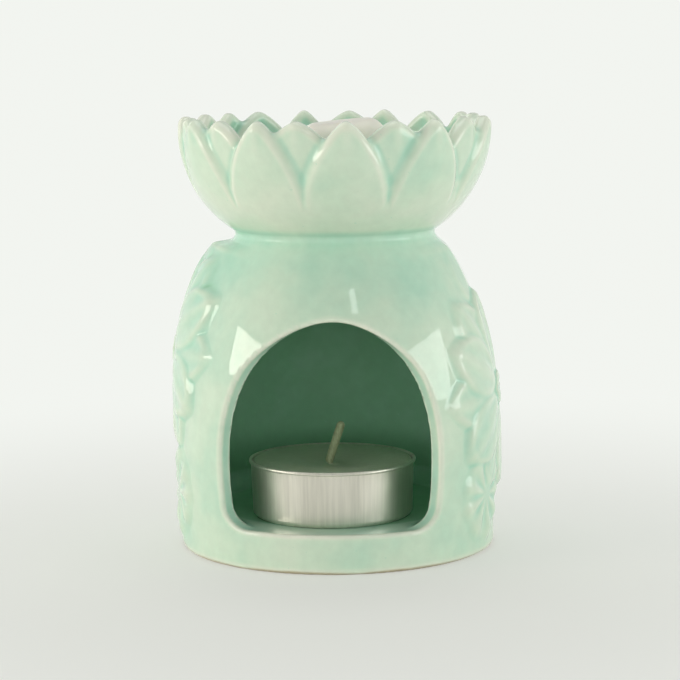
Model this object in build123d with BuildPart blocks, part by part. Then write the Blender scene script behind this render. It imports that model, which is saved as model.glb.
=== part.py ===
"""Essential oil burner in celadon-glazed ceramic.

A hand-cut arch in the housing lets a tealight stand on the floor inside. A lotus dish, luted to
the neck of the housing, holds oil or a wax melt above the flame. Lotus sprays in low relief stand
on both sides of the housing. +Z is up, the arch faces -Y, and the origin is under the base.
"""

import os
from math import asin, cos, degrees, radians, sin

from build123d import *

# Housing, in millimetres
base_radius = 36.6
belly_radius = 37.0
belly_height = 24.0
shoulder_radius = 33.2
shoulder_height = 52.5
neck_radius = 23.2
neck_height = 72.6
neck_slope = 55.0
wall = 4.0
floor_height = 9.0
foot_recess = 3.0
foot_width = 6.0
foot_round = 1.2

# Hand-cut arch, seen from the front, with x measured from the housing's axis
arch_left = 24.3
arch_right = 21.0
arch_flank_height = 24.0
arch_left_shoulder = 16.6
arch_right_shoulder = 14.1
arch_shoulder_height = 47.5
arch_crown_shift = 0.4
arch_crown_height = 55.4
arch_sill_draw_in = 1.2
arch_corner = 5.5
arch_round = 2.2

# Luting slip between the neck and the dish
slip_height = 1.1
slip_inset = 0.7
slip_hollow = 0.35

# Lotus dish
tip_height = 100.4
swell_height = 96.5
dish_radius = 35.9
row_step = 1.7
petal_thickness = 3.3
petal_count = 20
front_petal_azimuth = 4.5
petal_drift = 4.7
outer_petal_half_width = 9.3
outer_petal_widest = 80.5
inner_petal_half_width = 9.6
inner_petal_widest = 82.0
petal_tip_round = 1.6
petal_edge_round = 1.2
face_foot_radius = 16.0
cup_height = 86.0
dish_floor_height = 80.4
dish_floor_round = 6.0
dish_ceiling_height = 75.4

# Lotus sprays on the sides of the housing: a flower, a lily pad below it and a leaf above it
relief_low = 0.9
relief_high = 1.7
left_azimuth = -95.0
right_azimuth = 84.0
left_flower_height = 46.0
right_flower_height = 39.0
left_tilt = 3.0
right_tilt = 184.0
flower_petals = 12
flower_petal_length = 24.0
flower_petal_width = 12.8
flower_petal_widest = 15.0
flower_heart_radius = 4.5
pad_across = 12.0
pad_height = 14.0
pad_width = 17.0
pad_length = 22.0
leaf_across = 3.0
leaf_height = 57.0
leaf_length = 13.0
leaf_width = 7.5
leaf_widest = 6.0

# Tealight
tealight_x = -1.2
tealight_y = -11.5
cup_rim_radius = 19.25
cup_base_radius = 18.4
cup_depth = 13.0
cup_wall = 0.4
cup_corner = 1.3
cup_panel_radius = 15.6
cup_panel_lift = 1.2
rim_bead = 0.45
wax_clearance = 0.3
wax_below_rim = 1.1
wax_collar = 0.8
wick_radius = 0.85
wick_standing = 8.0
wick_lean = 3.0
wick_fit = 0.05
sustainer_radius = 6.0
sustainer_sheet = 0.3
sustainer_neck = 2.4
sustainer_neck_wall = 0.35

# Wax melt in the dish
melt_width = 23.0
melt_length = 21.0
melt_corner = 4.0
melt_taper = 6.0
melt_x = 2.0
melt_top_height = 99.2
melt_top_slope = 5.0
melt_edge_round = 3.4

PALE_GLAZE = Color(0.66, 0.84, 0.74)
DARK_GLAZE = Color(0.45, 0.72, 0.60)
ALUMINIUM = Color(0.78, 0.78, 0.78)
WAX = Color(0.93, 0.91, 0.86)

os.makedirs("parts", exist_ok=True)

neck_bore = neck_radius - wall
neck_direction = (-cos(radians(neck_slope)), sin(radians(neck_slope)))
dish_foot_height = neck_height + slip_height


def housing_profile(growth):
    """Points of the housing's wall line, moved out from the outer face by growth."""
    return [
        (belly_radius + growth, belly_height),
        (shoulder_radius + growth, shoulder_height),
        (neck_radius + growth, neck_height),
    ]


# Housing: revolved wall, floor and foot ring, with the arch cut through the front
with BuildPart() as burner_body:
    with BuildSketch(Plane.XZ):
        with BuildLine():
            foot_start = (base_radius - foot_round, 0)
            wall_start = (base_radius, foot_round)
            Spline(wall_start, *housing_profile(0), tangents=[(0, 1), neck_direction])
            Line((neck_radius, neck_height), (neck_bore, neck_height))
            Spline(
                (base_radius - wall, floor_height),
                *housing_profile(-wall),
                tangents=[(0, 1), neck_direction],
            )
            Polyline(
                (base_radius - wall, floor_height),
                (0, floor_height),
                (0, foot_recess),
                (base_radius - foot_width, foot_recess),
                (base_radius - foot_width, 0),
                foot_start,
            )
            RadiusArc(foot_start, wall_start, -foot_round)
        make_face()
    revolve(axis=Axis.Z)
    with BuildSketch(Plane.XZ) as arch:
        with BuildLine():
            sill_left = (arch_sill_draw_in - arch_left, floor_height)
            sill_right = (arch_right - arch_sill_draw_in, floor_height)
            Spline(
                sill_left,
                (-arch_left, arch_flank_height),
                (-arch_left_shoulder, arch_shoulder_height),
                (arch_crown_shift, arch_crown_height),
                (arch_right_shoulder, arch_shoulder_height),
                (arch_right, arch_flank_height),
                sill_right,
            )
            Line(sill_right, sill_left)
        make_face()
        fillet(arch.vertices().group_by(Axis.Y)[0], arch_corner)
    extrude(amount=2 * base_radius, mode=Mode.SUBTRACT)
    outer_wall = burner_body.faces().sort_by(SortBy.AREA)[-1]
    fillet(outer_wall.inner_wires()[0].edges(), arch_round)
burner_body.part.label = "burner_body"
burner_body.part.color = PALE_GLAZE
export_step(burner_body.part, "parts/burner_body.step")

# Luting slip: a ring with a hollow outer face, seated on the neck
with BuildPart() as slip_joint:
    with BuildSketch(Plane.XZ):
        with BuildLine():
            slip_outer = neck_radius - slip_inset
            slip_low = (slip_outer, neck_height)
            slip_high = (slip_outer, dish_foot_height)
            slip_middle = (slip_outer - slip_hollow, neck_height + slip_height / 2)
            ThreePointArc(slip_low, slip_middle, slip_high)
            Polyline(slip_high, (neck_bore, dish_foot_height), (neck_bore, neck_height), slip_low)
        make_face()
    revolve(axis=Axis.Z)
slip_joint.part.label = "slip_joint"
slip_joint.part.color = DARK_GLAZE
export_step(slip_joint.part, "parts/slip_joint.step")


def row_arc(row_radius, foot_radius, low, high):
    """Arc of a row's face from height low to high, upright at the swell and through its foot."""
    reach = row_radius - foot_radius
    rise = swell_height - dish_foot_height
    radius = (reach**2 + rise**2) / (2 * reach)
    start = degrees(asin((low - swell_height) / radius))
    end = degrees(asin((high - swell_height) / radius))
    return CenterArc((row_radius - radius, swell_height), radius, start, end - start)


def petal(row_radius, half_width, widest_height):
    """One petal of a row, at the front: a curved shell trimmed to a lancet outline."""
    trim_height = tip_height + petal_edge_round
    foot_trim = dish_foot_height - petal_edge_round
    with BuildPart() as shell:
        with BuildSketch(Plane.XZ):
            with BuildLine():
                outside = row_arc(row_radius, neck_radius, dish_foot_height, trim_height)
                inside = row_arc(row_radius - petal_thickness, face_foot_radius, dish_foot_height, trim_height)
                Line(outside @ 0, inside @ 0)
                Line(outside @ 1, inside @ 1)
            make_face()
        revolve(axis=Axis.Z)
        with BuildSketch(Plane.XZ) as lancet:
            with BuildLine():
                TangentArc((half_width, widest_height), (0, tip_height), tangent=(0, 1))
                Line((half_width, foot_trim), (half_width, widest_height))
                Line((0, foot_trim), (half_width, foot_trim))
                mirror(about=Plane.YZ)
            make_face()
            fillet(lancet.vertices().group_by(Axis.Y)[-1], petal_tip_round)
        extrude(amount=2 * dish_radius, mode=Mode.INTERSECT)
        outline = shell.edges().filter_by(Axis.Y, reverse=True)
        fillet(outline.filter_by(lambda edge: edge.center().Z > dish_foot_height), petal_edge_round)
    return shell.part


def petal_places(first):
    """Every second place round the dish, where the spacing widens a little to one side."""
    turns = [360 / petal_count * index for index in range(first, petal_count, 2)]
    azimuths = [front_petal_azimuth + turn + petal_drift * (1 - cos(radians(turn))) for turn in turns]
    return [Location((0, 0, 0), (0, 0, azimuth)) for azimuth in azimuths]


outer_petal = petal(dish_radius, outer_petal_half_width, outer_petal_widest)
inner_petal = petal(dish_radius - row_step, inner_petal_half_width, inner_petal_widest)

# Lotus dish: a plain cup inside two rows of petals
with BuildPart() as lotus_bowl:
    with BuildSketch(Plane.XZ) as cup_section:
        with BuildLine():
            cup_radius = dish_radius - row_step
            cup_out = row_arc(cup_radius, neck_radius, dish_foot_height, cup_height)
            cup_in = row_arc(cup_radius - petal_thickness, face_foot_radius, dish_floor_height, cup_height)
            Line(cup_out @ 1, cup_in @ 1)
            Polyline(
                cup_in @ 0,
                (0, dish_floor_height),
                (0, dish_ceiling_height),
                (neck_bore - wall, dish_ceiling_height),
                (neck_bore, dish_foot_height),
                cup_out @ 0,
            )
        make_face()
        fillet(cup_section.vertices().sort_by_distance(cup_in @ 0)[0], dish_floor_round)
    revolve(axis=Axis.Z)
    for place in petal_places(0):
        with Locations(place):
            add(outer_petal)
    for place in petal_places(1):
        with Locations(place):
            add(inner_petal)
lotus_bowl.part.label = "lotus_bowl"
lotus_bowl.part.color = PALE_GLAZE
export_step(lotus_bowl.part, "parts/lotus_bowl.step")


def pointed_leaf(length, width, widest):
    """Pointed leaf from the sketch's origin along +X, with its widest place at the given length."""
    with BuildSketch() as leaf:
        with BuildLine():
            TangentArc((widest, width / 2), (length, 0), tangent=(1, 0))
            TangentArc((widest, width / 2), (0, 0), tangent=(-1, 0))
            mirror(about=Plane.XZ)
        make_face()
    return leaf.sketch


def relief_layer(thickness):
    """Skin of the given thickness on the outer face of the housing."""
    with BuildPart() as layer:
        with BuildSketch(Plane.XZ):
            with BuildLine():
                skin = [(base_radius, foot_round), *housing_profile(0)]
                grown = [(base_radius + thickness, foot_round), *housing_profile(thickness)]
                Spline(*skin, tangents=[(0, 1), neck_direction])
                Spline(*grown, tangents=[(0, 1), neck_direction])
                Line(skin[0], grown[0])
                Line(skin[-1], grown[-1])
            make_face()
        revolve(axis=Axis.Z)
    return layer.part


def spray(azimuth, flower_height, tilt, inward):
    """Flower, pad and leaf on one side, where inward is the sketch's direction to the arch."""
    angle = radians(azimuth)
    side = Plane((0, 0, 0), x_dir=(cos(angle), sin(angle), 0), z_dir=(sin(angle), -cos(angle), 0))
    petal_leaf = pointed_leaf(flower_petal_length, flower_petal_width, flower_petal_widest)
    spacing = 360 / flower_petals
    layers = []
    for row, thickness in enumerate((relief_low, relief_high)):
        with BuildPart() as layer:
            with BuildSketch(side):
                for index in range(row, flower_petals, 2):
                    with Locations(Location((0, flower_height, 0), (0, 0, tilt + spacing * index))):
                        add(petal_leaf)
                if row == 0:
                    with Locations((inward * pad_across, pad_height)):
                        Ellipse(pad_width / 2, pad_length / 2)
                    with Locations(Location((inward * leaf_across, leaf_height, 0), (0, 0, 90))):
                        add(pointed_leaf(leaf_length, leaf_width, leaf_widest))
                else:
                    with Locations((0, flower_height)):
                        Circle(flower_heart_radius)
            extrude(amount=2 * base_radius)
            add(relief_layer(thickness), mode=Mode.INTERSECT)
        layers.append(layer.part)
    with BuildPart() as relief:
        add(layers)
    return relief.part


# Lotus sprays, seated on the housing's outer face
left_spray = spray(left_azimuth, left_flower_height, left_tilt, 1)
left_spray.label = "left_spray"
left_spray.color = DARK_GLAZE
export_step(left_spray, "parts/left_spray.step")

right_spray = spray(right_azimuth, right_flower_height, right_tilt, -1)
right_spray.label = "right_spray"
right_spray.color = DARK_GLAZE
export_step(right_spray, "parts/right_spray.step")

# Tealight: drawn aluminium cup with a pressed-up bottom panel, standing on the floor
tealight_axis = Axis((tealight_x, tealight_y, 0), (0, 0, 1))
tealight_plane = Plane((tealight_x, tealight_y, floor_height), x_dir=(1, 0, 0), z_dir=(0, -1, 0))
with BuildPart() as tealight_cup:
    with BuildSketch(tealight_plane) as cup_wall_section:
        with BuildLine():
            cup_outside = Line((cup_base_radius, 0), (cup_rim_radius - rim_bead, cup_depth - rim_bead))
            cup_inside = Line(
                (cup_base_radius - cup_wall, cup_wall),
                (cup_rim_radius - rim_bead - cup_wall, cup_depth - rim_bead),
            )
            Line(cup_outside @ 1, cup_inside @ 1)
            Polyline(
                cup_outside @ 0,
                (cup_panel_radius, 0),
                (cup_panel_radius, cup_panel_lift),
                (0, cup_panel_lift),
                (0, cup_panel_lift + cup_wall),
                (cup_panel_radius + cup_wall, cup_panel_lift + cup_wall),
                (cup_panel_radius + cup_wall, cup_wall),
                cup_inside @ 0,
            )
        make_face()
        with Locations((cup_rim_radius - rim_bead, cup_depth - rim_bead)):
            Circle(rim_bead)
        fillet(cup_wall_section.vertices().sort_by_distance(cup_outside @ 0)[0], cup_corner)
    revolve(axis=tealight_axis)
tealight_cup.part.label = "tealight_cup"
tealight_cup.part.color = ALUMINIUM
export_step(tealight_cup.part, "parts/tealight_cup.step")

# Wick: upright in the wax, then bent over to one side
wax_foot = cup_panel_lift + cup_wall
wax_top = cup_depth - wax_below_rim
with BuildPart() as tealight_wick:
    with BuildLine(tealight_plane) as wick_path:
        upright = Line((0, wax_foot), (0, wax_top))
        TangentArc(upright @ 1, (wick_lean, wax_top + wick_standing), tangent=Vector(0, 0, 1))
    with BuildSketch(Plane((tealight_x, tealight_y, floor_height + wax_foot))):
        Circle(wick_radius)
    sweep(path=wick_path.line)
tealight_wick.part.label = "tealight_wick"
export_step(tealight_wick.part, "parts/tealight_wick.step")

# Wick sustainer: sheet-steel disc with a neck crimped round the wick
with BuildPart() as wick_sustainer:
    with BuildSketch(tealight_plane):
        with BuildLine():
            neck_inside = wick_radius + wick_fit
            neck_outside = neck_inside + sustainer_neck_wall
            Polyline(
                (neck_inside, wax_foot),
                (sustainer_radius, wax_foot),
                (sustainer_radius, wax_foot + sustainer_sheet),
                (neck_outside, wax_foot + sustainer_sheet),
                (neck_outside, wax_foot + sustainer_neck),
                (neck_inside, wax_foot + sustainer_neck),
                close=True,
            )
        make_face()
    revolve(axis=tealight_axis)
wick_sustainer.part.label = "wick_sustainer"
wick_sustainer.part.color = ALUMINIUM
export_step(wick_sustainer.part, "parts/wick_sustainer.step")

# Wax: poured round the wick and its sustainer, with a collar drawn up the wick
with BuildPart() as tealight_wax:
    with BuildSketch(tealight_plane):
        with BuildLine():
            bore = wick_radius + wick_fit
            neck_room = neck_outside + wick_fit
            disc_room = sustainer_radius + wick_fit
            disc_top = wax_foot + sustainer_sheet + wick_fit
            neck_top = wax_foot + sustainer_neck + wick_fit
            wax_foot_radius = cup_base_radius - cup_wall - wax_clearance - cup_corner
            wax_rim_radius = cup_rim_radius - rim_bead - cup_wall - rim_bead - wax_clearance
            Polyline(
                (bore, wax_top + wax_collar),
                (bore, neck_top),
                (neck_room, neck_top),
                (neck_room, disc_top),
                (disc_room, disc_top),
                (disc_room, wax_foot),
                (wax_foot_radius, wax_foot),
                (wax_rim_radius, wax_foot + cup_corner),
                (wax_rim_radius, wax_top),
            )
            Spline(
                (wax_rim_radius, wax_top),
                (sustainer_radius, wax_top),
                (bore, wax_top + wax_collar),
                tangents=[(-1, 0), (-1, 1)],
            )
        make_face()
    revolve(axis=tealight_axis)
tealight_wax.part.label = "tealight_wax"
tealight_wax.part.color = WAX
export_step(tealight_wax.part, "parts/tealight_wax.step")

# Wax melt: a tapered block with a sloping top and softened edges
with BuildPart() as wax_melt:
    with BuildSketch(Plane.XY.offset(dish_floor_height)):
        with Locations((melt_x, 0)):
            RectangleRounded(melt_width, melt_length, melt_corner)
    extrude(amount=melt_top_height - dish_floor_height, taper=melt_taper)
    melt_top = Plane((melt_x + melt_width / 4, 0, melt_top_height)).rotated((0, -melt_top_slope, 0))
    split(bisect_by=melt_top, keep=Keep.BOTTOM)
    fillet(wax_melt.faces().sort_by(Axis.Z)[-1].edges(), melt_edge_round)
wax_melt.part.label = "wax_melt"
wax_melt.part.color = WAX
export_step(wax_melt.part, "parts/wax_melt.step")
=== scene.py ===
"""Dresses a celadon oil burner: glazed housing, lotus dish, relief sprays, tealight and wax melt."""

import math

import bpy
import numpy as np
from bpy.props import FloatProperty, FloatVectorProperty, IntProperty, PointerProperty
from bpy.types import Operator, Panel, PropertyGroup
from mathutils import Euler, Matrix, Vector


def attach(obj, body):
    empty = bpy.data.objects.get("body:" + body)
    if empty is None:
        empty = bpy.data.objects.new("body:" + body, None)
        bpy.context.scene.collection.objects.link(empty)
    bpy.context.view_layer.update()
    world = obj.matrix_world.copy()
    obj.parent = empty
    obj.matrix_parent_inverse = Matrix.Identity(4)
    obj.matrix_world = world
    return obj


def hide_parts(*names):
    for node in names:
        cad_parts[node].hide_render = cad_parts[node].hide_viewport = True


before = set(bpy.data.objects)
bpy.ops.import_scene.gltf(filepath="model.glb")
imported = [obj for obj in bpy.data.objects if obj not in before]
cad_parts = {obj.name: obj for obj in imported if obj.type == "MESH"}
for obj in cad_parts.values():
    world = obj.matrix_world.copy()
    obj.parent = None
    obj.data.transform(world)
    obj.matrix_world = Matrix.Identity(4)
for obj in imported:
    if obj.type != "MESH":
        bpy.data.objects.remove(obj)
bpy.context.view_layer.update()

bl_info = {
    "name": "Celadon Oil Burner",
    "version": (1, 0, 0),
    "blender": (4, 5, 0),
    "location": "View3D > Sidebar > Oil Burner",
    "description": "Builds a glazed oil burner with a lotus dish around its fixed solids",
    "category": "Object",
}

MM = 0.001
TURN = 2 * math.pi
TINY = 1e-9

# Glaze thickness: 0 on open walls, higher in creases, lower over edges
CREASE_POOL = 0.5
EDGE_POOL = -0.75
RELIEF_EDGE_POOL = -0.4

# How far from the crease under the dish its pooled glaze starts and is full
CREASE_REACH = 2 * MM
CREASE_CORE = 0.5 * MM

# Flats round the ring and the cup, and bend in degrees that stays sharp on them
RING_SEGMENTS = 220
RING_SHARP = 50

# Steps from petal to petal of the waves that make petals differ
SWAY_STEP = 2.6
TIP_STEP = 2.4
WIDTH_STEP = 1.7
BEND_STEP = 2.1
LENGTH_STEP = 3.3
PETAL_STRAY = 0.04

# Power of the soft maximum that joins the leaves of a relief
SOFT_TOP = 4

# Where nearly all of a noise lies
NOISE_LOW = 0.3
NOISE_HIGH = 0.7

# Sockets of the Mix node that hold its factor and its colours
MIX_FACTOR, MIX_FIRST, MIX_SECOND, MIX_RESULT = 0, 6, 7, 2

GLAZE_IOR = 1.52
WAX_IOR = 1.44

# Lamps: name, tint, place, width and height in metres, power in watts
LAMPS = (
    ("left_softbox", "left_lamp", (-0.823, -0.236, 0.2415), 0.41, 0.21, 1.62),
    ("right_softbox", "right_lamp", (0.818, -0.250, 0.182), 0.60, 0.274, 1.75),
    ("top_softbox", "right_lamp", (0.0, 0.08, 0.95), 0.5, 0.5, 1.75),
    ("front_strip", "right_lamp", (0.27, -0.87, 0.83), 0.11, 0.21, 0.26),
)
LAMP_AIM = Vector((0, 0, 0.05))

# Strength of the room's light from each side, from level and from overhead
ROOM_LEFT, ROOM_RIGHT = 1.22, 0.76
ROOM_FRONT, ROOM_BACK = 0.8, 1.08
ROOM_LEVEL, ROOM_OVERHEAD = 3.3, 0.14


def length(name, description, millimetres):
    """Property for a length, given in millimetres."""
    return FloatProperty(
        name=name, description=description, default=millimetres * MM, unit="LENGTH", precision=5
    )


def angle(name, description, degrees):
    """Property for an angle, given in degrees."""
    return FloatProperty(
        name=name, description=description, default=math.radians(degrees), subtype="ANGLE"
    )


def share(name, description, value):
    """Property for a share from 0 to 1."""
    return FloatProperty(
        name=name, description=description, default=value, min=0, max=1, subtype="FACTOR"
    )


def spot(name, description, metres):
    """Property for a place, given in metres."""
    return FloatVectorProperty(
        name=name, description=description, default=metres, size=3, subtype="TRANSLATION", unit="LENGTH"
    )


def tint(name, description, colour):
    """Property for a linear colour."""
    return FloatVectorProperty(
        name=name, description=description, default=colour, size=3, min=0, max=1, subtype="COLOR"
    )


class HousingForm(PropertyGroup):
    base_radius: length("Base Radius", "Radius of the wall above the foot", 36.55)
    belly_radius: length("Belly Radius", "Largest radius of the wall", 37.0)
    belly_height: length("Belly Height", "Height of the largest radius", 24.0)
    shoulder_radius: length("Shoulder Radius", "Radius where the wall turns in", 33.2)
    shoulder_height: length("Shoulder Height", "Height where the wall turns in", 52.5)
    neck_radius: length("Neck Radius", "Outer radius of the neck", 23.2)
    neck_height: length("Neck Height", "Height of the neck's rim", 72.6)
    neck_slope: angle("Neck Slope", "Slope of the wall at the neck", 55.0)
    wall: length("Wall", "Thickness of the wall", 4.0)
    floor_height: length("Floor Height", "Height of the floor that the tealight stands on", 9.0)
    floor_round: length("Floor Round", "Cove between the floor and the walls", 4.6)
    foot_recess: length("Foot Recess", "Depth of the hollow under the base", 3.0)
    foot_width: length("Foot Width", "Width of the foot ring", 6.0)
    foot_round: length("Foot Round", "Rounding at the bottom of the wall", 1.2)
    lip_glaze: share("Lip Glaze", "How much thicker the glaze lies on the arch's inner edge", 0.3)
    # Painted shade of the dish on the shoulder, drawn as thicker glaze
    shoulder_shade_depth: share("Shoulder Glaze", "How much thicker the glaze lies on the shoulder", 0.32)
    crease_round: length("Crease Round", "Radius of the glaze in the crease under the dish", 1.3)
    crease_glaze: share("Crease Glaze", "How thick the glaze lies in the crease under the dish", 0.35)
    wobble: length("Wobble", "How far the cast wall strays from round", 0.08)
    arch_left: length("Arch Left", "Reach of the arch to the left", 24.3)
    arch_right: length("Arch Right", "Reach of the arch to the right", 21.0)
    arch_flank_height: length("Arch Flank Height", "Height where the arch is widest", 24.0)
    arch_left_shoulder: length("Arch Left Shoulder", "Reach of the arch's left shoulder", 16.6)
    arch_right_shoulder: length("Arch Right Shoulder", "Reach of the arch's right shoulder", 14.1)
    arch_shoulder_height: length("Arch Shoulder Height", "Height of the arch's shoulders", 47.5)
    arch_crown_shift: length("Arch Crown Shift", "Place of the crown to the right", 0.4)
    arch_crown_height: length("Arch Crown Height", "Height of the crown", 55.4)
    arch_draw_in: length("Arch Draw In", "How far the arch narrows towards the sill", 1.2)
    lip_round: length("Lip Round", "Rounding of the arch's outer lip", 0.7)
    lip_flare: length("Lip Flare", "How far the arch widens towards the outside", 2.1)
    lip_flare_depth: length("Lip Flare Depth", "How deep in the wall that widening starts", 3.2)
    lip_inner_round: length("Lip Inner Round", "Rounding of the arch's inner lip", 0.9)
    grain: length("Mesh Grain", "Size of the mesh's faces", 0.68)


class DishForm(PropertyGroup):
    foot_height: length("Foot Height", "Height of the dish's foot", 73.7)
    tip_height: length("Tip Height", "Height of the petal tips", 100.0)
    swell_height: length("Swell Height", "Height where the petals stand upright", 96.5)
    radius: length("Radius", "Outer radius of the outer petals", 35.84)
    row_step: length("Row Step", "Step in from the outer to the inner petals", 1.7)
    thickness: length("Petal Thickness", "Thickness of a petal", 3.3)
    count: IntProperty(name="Petals", description="Petals in both rows", default=20, min=4)
    front_azimuth: angle("Front Azimuth", "Turn of the front petal", 4.5)
    drift: angle("Drift", "How far the spacing widens to one side", 4.7)
    sway: angle("Sway", "How far a petal stands from its even place", 2.2)
    outer_half_width: length("Outer Half Width", "Half width of an outer petal", 8.7)
    outer_widest: length("Outer Widest", "Height where an outer petal is widest", 80.5)
    inner_half_width: length("Inner Half Width", "Half width of an inner petal", 10.5)
    inner_widest: length("Inner Widest", "Height where an inner petal is widest", 82.0)
    tip_round: length("Tip Round", "Rounding of a petal's tip", 0.95)
    edge_round: length("Edge Round", "Rounding of a petal's edge", 1.5)
    crease_round: length("Crease Round", "Glaze fillet between petals", 1.5)
    crown: length("Crown", "Swell across a petal's outer face", 1.1)
    ridge: length("Ridge", "Height of the ridge at a petal's tip", 0.3)
    band_height: length("Band Height", "Height where the plain band gives way to petals", 79.5)
    # Painted light on the plain band under the dish, drawn as thinner, paler glaze
    band_painted_light: share("Band Glaze", "How much thinner the glaze lies on the plain band", 0.25)
    petal_rise: length("Petal Rise", "Height that the petals take to stand clear of the band", 8.0)
    cup_height: length("Cup Height", "Rim of the cup inside the petals", 86.0)
    floor_height: length("Floor Height", "Floor of the dish", 80.4)
    floor_round: length("Floor Round", "Rounding between floor and side", 6.0)
    ceiling_height: length("Ceiling Height", "Underside of the dish above the flame", 75.4)
    face_foot_radius: length("Face Foot Radius", "Radius where the inner face starts", 16.0)
    petal_window: angle("Petal Window", "Half of the turn that a petal is worked out in", 42.0)
    grain: length("Mesh Grain", "Size of the mesh's faces", 0.48)


class SprayForm:
    """Sizes that both sprays share"""

    petals: IntProperty(name="Petals", description="Petals of the flower", default=12, min=4)
    petal_length: length("Petal Length", "Length of a petal", 24.5)
    petal_width: length("Petal Width", "Width of a petal", 13.4)
    ridge_round: length("Ridge Round", "Rounding along the middle of a petal", 1.3)
    heart_radius: length("Heart Radius", "Radius of the seed head", 4.5)
    low: length("Low Relief", "Height of the lower petals", 0.6)
    high: length("High Relief", "Height of the upper petals", 1.1)
    crown: length("Crown", "Swell across a petal", 0.4)
    rib: length("Rib", "Height of the ribs along a petal", 0.15)
    melt_out: length("Melt Out", "How far the glaze carries an edge out over the wall", 1.3)
    melt_in: length("Melt In", "How far in from its edge a petal reaches its height", 2.5)
    stand_limit: length("Stand Limit", "Most that the relief gains where the shoulder turns in", 2.65)
    swell_top: length("Swell Top", "Height where the swell under the relief ends", 72.0)
    sink: length("Sink", "Depth of the relief's rim under the wall", 0.03)
    pad_across: length("Pad Across", "Place of the lily pad towards the arch", 12.0)
    pad_height: length("Pad Height", "Height of the pad's middle", 14.0)
    pad_width: length("Pad Width", "Width of the lily pad", 18.0)
    pad_length: length("Pad Length", "Length of the lily pad", 23.0)
    leaf_across: length("Leaf Across", "Place of the leaf towards the arch", 3.0)
    leaf_height: length("Leaf Height", "Height of the leaf's foot", 55.0)
    leaf_length: length("Leaf Length", "Length of the leaf", 16.0)
    leaf_width: length("Leaf Width", "Width of the leaf", 11.0)
    grain: length("Mesh Grain", "Size of the mesh's faces", 0.32)


class LeftSprayForm(SprayForm, PropertyGroup):
    azimuth: angle("Azimuth", "Turn of the flower from the front", -99.0)
    flower_height: length("Flower Height", "Height of the flower's heart", 45.0)
    tilt: angle("Tilt", "Turn of the first petal", 3.0)
    stand: share("Stand", "How upright the relief stays where the shoulder turns in", 0.6)
    leaf_share: share("Leaf Share", "How high the leaf stands, next to the petals", 1.0)
    dome: length("Dome", "Swell of the whole flower round its heart", 0.9)


class RightSprayForm(SprayForm, PropertyGroup):
    azimuth: angle("Azimuth", "Turn of the flower from the front", 84.0)
    flower_height: length("Flower Height", "Height of the flower's heart", 36.8)
    tilt: angle("Tilt", "Turn of the first petal", 184.0)
    stand: share("Stand", "How upright the relief stays where the shoulder turns in", 0.08)
    leaf_share: share("Leaf Share", "How high the leaf stands, next to the petals", 0.5)
    dome: length("Dome", "Swell of the whole flower round its heart", 0.3)


class TealightForm(PropertyGroup):
    place_x: length("Place X", "Place of the tealight to the right", -1.2)
    place_y: length("Place Y", "Place of the tealight to the back", -11.5)
    rim_radius: length("Rim Radius", "Outer radius of the rolled rim", 19.25)
    base_radius: length("Base Radius", "Radius at the bottom of the cup", 18.4)
    depth: length("Depth", "Height of the cup", 13.0)
    sheet: length("Sheet", "Thickness of the aluminium", 0.4)
    corner: length("Corner", "Rounding at the bottom", 1.3)
    bead: length("Bead", "Radius of the rolled rim", 0.45)
    panel_radius: length("Panel Radius", "Radius of the pressed-up bottom", 15.6)
    panel_lift: length("Panel Lift", "Height of the pressed-up bottom", 1.2)
    wax_below_rim: length("Wax Below Rim", "Depth of the wax under the rim", 0.22)
    wax_radius: length("Wax Radius", "Radius of the candle at its foot", 17.5)
    wax_top_radius: length("Wax Top Radius", "Radius of the candle at its top", 18.2)
    wax_dip: length("Wax Dip", "Sink of the cooled wax round the wick", 1.7)
    wax_dip_radius: length("Wax Dip Radius", "Reach of that sink", 7.5)
    wax_collar: length("Wax Collar", "Height of the wax drawn up the wick", 0.6)
    wick_radius: length("Wick Radius", "Radius of the wick", 0.95)
    wick_root: length("Wick Root", "Place of the wick's foot to the right", -1.1)
    wick_standing: length("Wick Standing", "Length of the wick above the cup's rim", 8.3)
    wick_lean: length("Wick Lean", "Lean of the wick to the right", 3.4)


class MeltForm(PropertyGroup):
    width: length("Width", "Width of the melt", 23.0)
    depth: length("Depth", "Depth of the melt", 21.0)
    corner: length("Corner", "Rounding of the upright corners", 4.0)
    taper: angle("Taper", "Draft of the sides", 6.0)
    place_x: length("Place X", "Place of the melt to the right", 2.0)
    top_height: length("Top Height", "Height of the top", 99.2)
    slope: angle("Slope", "Fall of the top to the left", 5.0)
    edge_round: length("Edge Round", "Rounding of the top edge", 3.4)
    grain: length("Mesh Grain", "Size of the mesh's faces", 0.5)


class Finish(PropertyGroup):
    thin_glaze: tint("Thin Glaze", "Celadon glaze over edges", (0.79, 0.83, 0.70))
    glaze: tint("Glaze", "Celadon glaze at its usual thickness", (0.61, 0.77, 0.61))
    pooled_glaze: tint("Pooled Glaze", "Celadon glaze run together in creases", (0.43, 0.70, 0.55))
    # Glaze colour painted into the chamber as its shade
    chamber_shade_glaze: tint("Deep Glaze", "Celadon glaze poured into the chamber", (0.31, 0.60, 0.40))
    foot_clay: tint("Foot Clay", "Bare clay under the foot", (0.50, 0.45, 0.31))
    aluminium: tint("Aluminium", "Sheet of the tealight cup", (0.86, 0.83, 0.74))
    # Wax colour darkened and tinted green as painted shade and bounce of the green chamber
    paraffin: tint("Paraffin", "Wax of the tealight", (0.44, 0.53, 0.37))
    # Wick colour darkened and tinted green as painted shade and bounce of the green chamber
    shaded_cotton: tint("Cotton", "Wick", (0.36, 0.43, 0.24))
    steel: tint("Steel", "Wick sustainer", (0.55, 0.55, 0.54))
    melt: tint("Melt", "Wax melt in the dish", (0.90, 0.88, 0.79))
    gloss: share("Glaze Roughness", "Roughness of the fired glaze", 0.045)


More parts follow.
